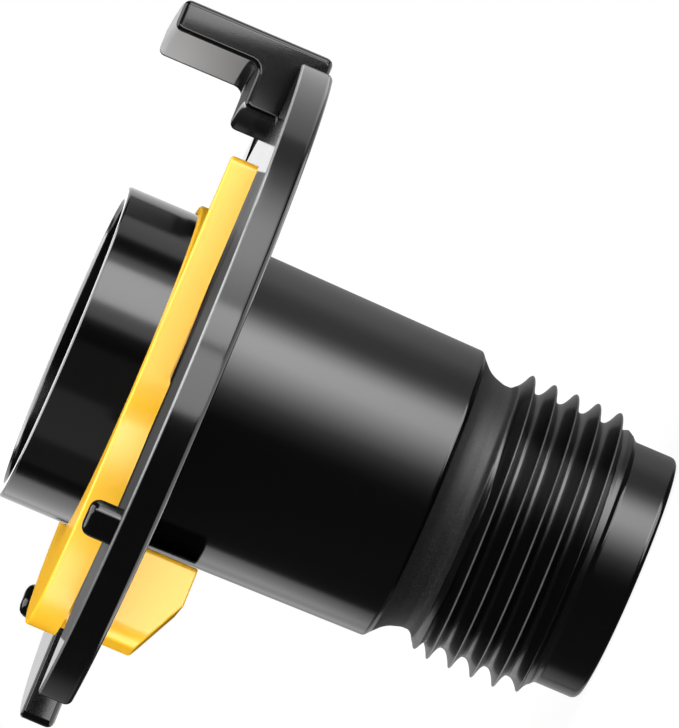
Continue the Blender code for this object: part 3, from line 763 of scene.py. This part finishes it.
round_edges(lever, lever_edges(LEVER_BOTTOM), LEVER_ROUND, 10)
round_edges(lever, lever_edges(LEVER_TOP), LEVER_TOP_ROUND)
lever_rim = [edge for edge in lever.edges if edge.calc_face_angle(0) > LEVER_RIM_ANGLE]
round_edges(lever, [e for e in lever_rim if max(v.co.z for v in e.verts) < RING_BACK], SOFT_EDGE, 3)
combine(lock_ring, lever, "UNION")
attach(lock_ring, "ring")
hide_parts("lock_ring")

DEEP_YELLOW = (0.92, 0.48, 0.012)
PALE_YELLOW = (0.97, 0.53, 0.018)
RING_GRAIN_DEPTH = 0.000008
yellow, place = new_material("satin_yellow_moulding")
cloud = noise(place, 55)
grain = noise(place, 3600, detail=2)
shade(
    blend(cloud, DEEP_YELLOW, PALE_YELLOW),
    0.26 + 0.08 * cloud,
    grain + 2 * cloud,
    RING_GRAIN_DEPTH,
)
finish_piece(lock_ring, yellow)
lock_ring.visible_glossy = False


# Studio
# The fitting stands on a pale floor in a white room. The camera is turned on its side, as the photograph is.
# A cloth tent round the fitting, with white cards in it, gives the plastic its light and dark bands and its
# bright edges. A black flag in the lever makes the barrel reflect the lever dark.
VIEW_ANGLE = math.radians(-101.5)
VIEW_RISE = math.radians(3.35)
VIEW_ROLL = math.radians(157)
VIEW_DISTANCE = 3.32
VIEW_CENTRE = Vector((0.01695, -0.00345, 0.0700))
VIEW_LENS = 820
FLOOR_RADIUS = 0.6
FLOOR_GAP = 0.0003
FLOOR_WHITE = (0.9, 0.9, 0.9, 1)
FLOOR_GLOW = 1.08
FLOOR_GLOW_SHARE = 0.85
ROOM_LIGHT = 0.45
TENT_RADIUS = 1.4
TENT_HALF_HEIGHT = 1.4
CARD_DISTANCE = 1.26
TENT_GLOW = 9.0
TENT_BRIGHT = 0.45
TENT_FADE = 0.25
TENT_DIM = (-0.09, -0.04)
TENT_DIM_SHARE = 0.30
TENT_DARK = (0.006, 0.006, 0.006, 1)
FLAG_SHARE = 0.98
MIDDLE = Vector((0, 0, 0.07))


def away(bearing, rise):
    """The direction at a bearing from the camera and a rise from level, in degrees."""
    turn = VIEW_ANGLE + math.radians(bearing)
    flat = math.cos(math.radians(rise))
    return Vector((math.cos(turn) * flat, math.sin(turn) * flat, math.sin(math.radians(rise))))


to_camera = away(0, math.degrees(VIEW_RISE))
up_axis = (Vector((0, 0, 1)) - to_camera * to_camera.z).normalized()
side_axis = to_camera.cross(up_axis)
right = up_axis * math.cos(VIEW_ROLL) - side_axis * math.sin(VIEW_ROLL)
upward = up_axis * math.sin(VIEW_ROLL) + side_axis * math.cos(VIEW_ROLL)
lens = bpy.data.cameras.new("camera")
lens.lens = VIEW_LENS
lens.clip_end = 20
camera = bpy.data.objects.new("camera", lens)
camera.matrix_world = Matrix.Translation(VIEW_CENTRE + to_camera * VIEW_DISTANCE) @ Matrix(
    (right, upward, to_camera)
).transposed().to_4x4()
bpy.context.scene.collection.objects.link(camera)
bpy.context.scene.camera = camera
bpy.context.scene.view_settings.view_transform = "Standard"

floor_mesh = bmesh.new()
bmesh.ops.create_circle(floor_mesh, cap_ends=True, segments=96, radius=FLOOR_RADIUS)
bmesh.ops.translate(floor_mesh, verts=floor_mesh.verts, vec=(0, 0, -FLOOR_GAP))
floor = object_from("floor", floor_mesh)
pale, place = new_material("pale_floor")
matte_white = place.node("ShaderNodeBsdfDiffuse", {}, {"Color": FLOOR_WHITE})
glow = place.node("ShaderNodeEmission", {}, {"Color": (1, 1, 1, 1), "Strength": FLOOR_GLOW})
seen = place.node("ShaderNodeLightPath", {}, {}, "Is Camera Ray")
mixed = place.node("ShaderNodeMixShader", {}, {0: seen * FLOOR_GLOW_SHARE, 1: matte_white, 2: glow})
place.node("ShaderNodeOutputMaterial", {}, {"Surface": mixed})
floor.data.materials.append(pale)
floor.visible_glossy = False
floor.visible_diffuse = False


def lights_only(lamp, *pieces):
    """Lets a lamp or a glowing cloth light some pieces and no others."""
    lit = bpy.data.collections.new("lit_by_" + lamp.name)
    for piece in pieces:
        lit.objects.link(piece)
    lamp.light_linking.receiver_collection = lit


def at(bearing, strength):
    """A stop of the tent's ramp, from a bearing in degrees and a share of the tent's glow."""
    return (0.5 + bearing / 360, strength)


def only_in_gloss(prop):
    """Hides a thing in the studio from all but reflections."""
    for ray in ("camera", "diffuse", "shadow", "transmission", "volume_scatter"):
        setattr(prop, "visible_" + ray, False)


tent_mesh = bmesh.new()
bmesh.ops.create_cone(
    tent_mesh, cap_ends=True, segments=180, radius1=TENT_RADIUS, radius2=TENT_RADIUS,
    depth=2 * TENT_HALF_HEIGHT,
)
tent = object_from("tent", tent_mesh)
only_in_gloss(tent)
cloth, place = new_material("tent_cloth")
cloth.cycles.emission_sampling = "NONE"
turned_x = place.part("X") * math.cos(VIEW_ANGLE) + place.part("Y") * math.sin(VIEW_ANGLE)
turned_y = place.part("Y") * math.cos(VIEW_ANGLE) - place.part("X") * math.sin(VIEW_ANGLE)
bearing = turned_x.maths("ARCTAN2", turned_y, turned_x) * (1 / math.tau) + 0.5
bands = [
    at(-180, 0.006), at(-142, 0.006), at(-134, 0.066), at(-120, 0.045), at(-110, 0.006),
    at(-6, 0.006), at(4, 0.03), at(14, 0.10), at(24, 0.32), at(36, 0.70),
    at(47, 1.0), at(59, 1.0), at(68, 0.62), at(76, 0.24), at(85, 0.085),
    at(100, 0.07), at(118, 0.092), at(140, 0.06), at(166, 0.033), at(180, 0.05),
]
wall = place.node("ShaderNodeValToRGB", {"stops": bands}, {"Fac": bearing})
level = place.part("Z").between(-TENT_BRIGHT, TENT_BRIGHT, TENT_FADE)
level = level * (1 - TENT_DIM_SHARE + TENT_DIM_SHARE * place.part("Z").ramp(*TENT_DIM))
lit = place.node("ShaderNodeMix", {"data_type": "RGBA"}, {"Factor": level, 6: TENT_DARK, 7: wall}, 2)
glow = place.node("ShaderNodeEmission", {}, {"Color": lit, "Strength": TENT_GLOW})
place.node("ShaderNodeOutputMaterial", {}, {"Surface": glow})
tent.data.materials.append(cloth)
lights_only(tent, hose_barrel, bayonet_flange)


def lamp(name, bearing, rise, distance, width, height, power):
    """A soft lamp that faces the fitting, at a bearing from the camera, and isn't seen in its gloss."""
    light = bpy.data.lights.new(name, "AREA")
    light.shape = "RECTANGLE"
    light.size = width
    light.size_y = height
    light.energy = power
    made = bpy.data.objects.new(name, light)
    side = away(bearing, rise)
    made.matrix_world = Matrix.Translation(MIDDLE + side * distance) @ side.to_track_quat(
        "Z", "Y"
    ).to_matrix().to_4x4()
    made.visible_glossy = False
    made.visible_camera = False
    bpy.context.scene.collection.objects.link(made)
    return made


def card(name, piece, bearing, spread, height, glow, rise=0, distance=CARD_DISTANCE):
    """A white card that is seen in the gloss of one piece and lights nothing else."""
    width = 2 * distance * math.tan(math.radians(spread))
    made = lamp(name, bearing, rise, distance, width, height, glow * math.pi * width * height)
    made.visible_glossy = True
    made.visible_diffuse = False
    lights_only(made, piece)


flag_mesh = bmesh.new()
bmesh.ops.create_cube(flag_mesh, size=1)
flag_size = Vector((LEVER_TOP - LEVER_HEEL, 2 * LEVER_HALF_WIDTH, RING_BACK - LEVER_END))
bmesh.ops.scale(flag_mesh, verts=flag_mesh.verts, vec=flag_size * FLAG_SHARE)
flag_middle = ((LEVER_TOP + LEVER_HEEL) / 2, 0, (RING_BACK + LEVER_END) / 2)
bmesh.ops.translate(flag_mesh, verts=flag_mesh.verts, vec=flag_middle)
flag = object_from("flag", flag_mesh)
only_in_gloss(flag)
black_cloth, place = new_material("black_cloth")
matte_black = place.node("ShaderNodeBsdfDiffuse", {}, {"Color": TENT_DARK})
place.node("ShaderNodeOutputMaterial", {}, {"Surface": matte_black})
flag.data.materials.append(black_cloth)

# Lamps: bearing and rise in degrees, distance, width and height in metres, watts.
lamp("key", 40, 20, 1.2, 0.9, 0.9, 4.5)
lamp("fill", -70, 10, 1.4, 1.2, 1.2, 16)
lamp("front", 10, 60, 1.4, 1.0, 1.0, 6)
lamp("low", 5, -28, 1.4, 1.0, 1.0, 21)
lights_only(lamp("over_ring", 0, 85, 1.2, 0.8, 0.8, 9.5), lock_ring)
lights_only(lamp("facing_ring", -15, 2, 1.2, 0.5, 0.5, 3.3), lock_ring)
# Cards: the piece that shows it, bearing and half width in degrees, height in metres, glow.
card("below_barrel", hose_barrel, -136, 24, 1.0, 0.45, rise=17.5, distance=1.15)
card("under_barrel", hose_barrel, -127, 15, 1.0, 0.70, rise=17.5, distance=1.15)
card("behind_barrel", hose_barrel, -161, 20, 1.6, 0.45)
card("under_neck", hose_barrel, 60, 22, 0.9, 5.0, rise=-38, distance=1.1)
card("over_mouth", mouth_sleeve, 163, 20, 1.6, 1.0)
card("high_mouth", mouth_sleeve, 102, 12, 1.6, 1.1)
card("beside_mouth", mouth_sleeve, 50, 15, 1.6, 6.5)
card("round_mouth", mouth_sleeve, 48, 26, 1.6, 1.5)
card("facing_mouth", mouth_sleeve, -50, 20, 1.6, 0.3)
card("low_mouth", mouth_sleeve, -45, 50, 1.6, 0.12, distance=0.85)
card("under_mouth", mouth_sleeve, -131, 19, 1.6, 1.6)
card("behind_mouth", mouth_sleeve, -166, 16, 1.6, 0.9)
card("beside_flange", bayonet_flange, 21.5, 5.8, 0.3, 9.0, rise=2.3, distance=0.322)
card("near_flange", bayonet_flange, 4, 8.8, 0.3, 7.5, rise=6, distance=0.2)
card("over_flange", bayonet_flange, 122, 28, 1.2, 1.5)
card("behind_flange", bayonet_flange, 180, 8, 0.8, 0.92, rise=3)
card("under_rim", bayonet_flange, 140, 35, 1.2, 0.6, rise=-38, distance=1.1)
card("above_mouth", mouth_sleeve, 0, 50, 3.0, 9.0, rise=90)
card("above_flange", bayonet_flange, 0, 30, 1.5, 5.0, rise=90)
card("below", bayonet_flange, 0, 50, 3.0, 3.5, rise=-90)
card("near_hook", bayonet_flange, 49, 4.8, 0.034, 8.5, rise=25, distance=0.108)
card("above_ring", lock_ring, 0, 40, 2.0, 3.5, rise=90)
card("beside_ring", lock_ring, 26, 25, 1.4, 9.5)
card("under_ring", lock_ring, -85, 28, 1.4, 4.0)

world = bpy.data.worlds.new("white_room")
world.use_nodes = True
world.node_tree.nodes.clear()
bpy.context.scene.world = world
start = Wire(world.node_tree)
seen = start.node("ShaderNodeLightPath", {}, {}, "Is Camera Ray")
glossy = start.node("ShaderNodeLightPath", {}, {}, "Is Glossy Ray")
through = start.node("ShaderNodeLightPath", {}, {}, "Is Transmission Ray")
background = seen.maths("MAXIMUM", seen.maths("MAXIMUM", seen, glossy), through)
strength = ROOM_LIGHT + (1 - ROOM_LIGHT) * background
room = start.node("ShaderNodeBackground", {}, {"Color": (1, 1, 1, 1), "Strength": strength})
start.node("ShaderNodeOutputWorld", {}, {"Surface": room})
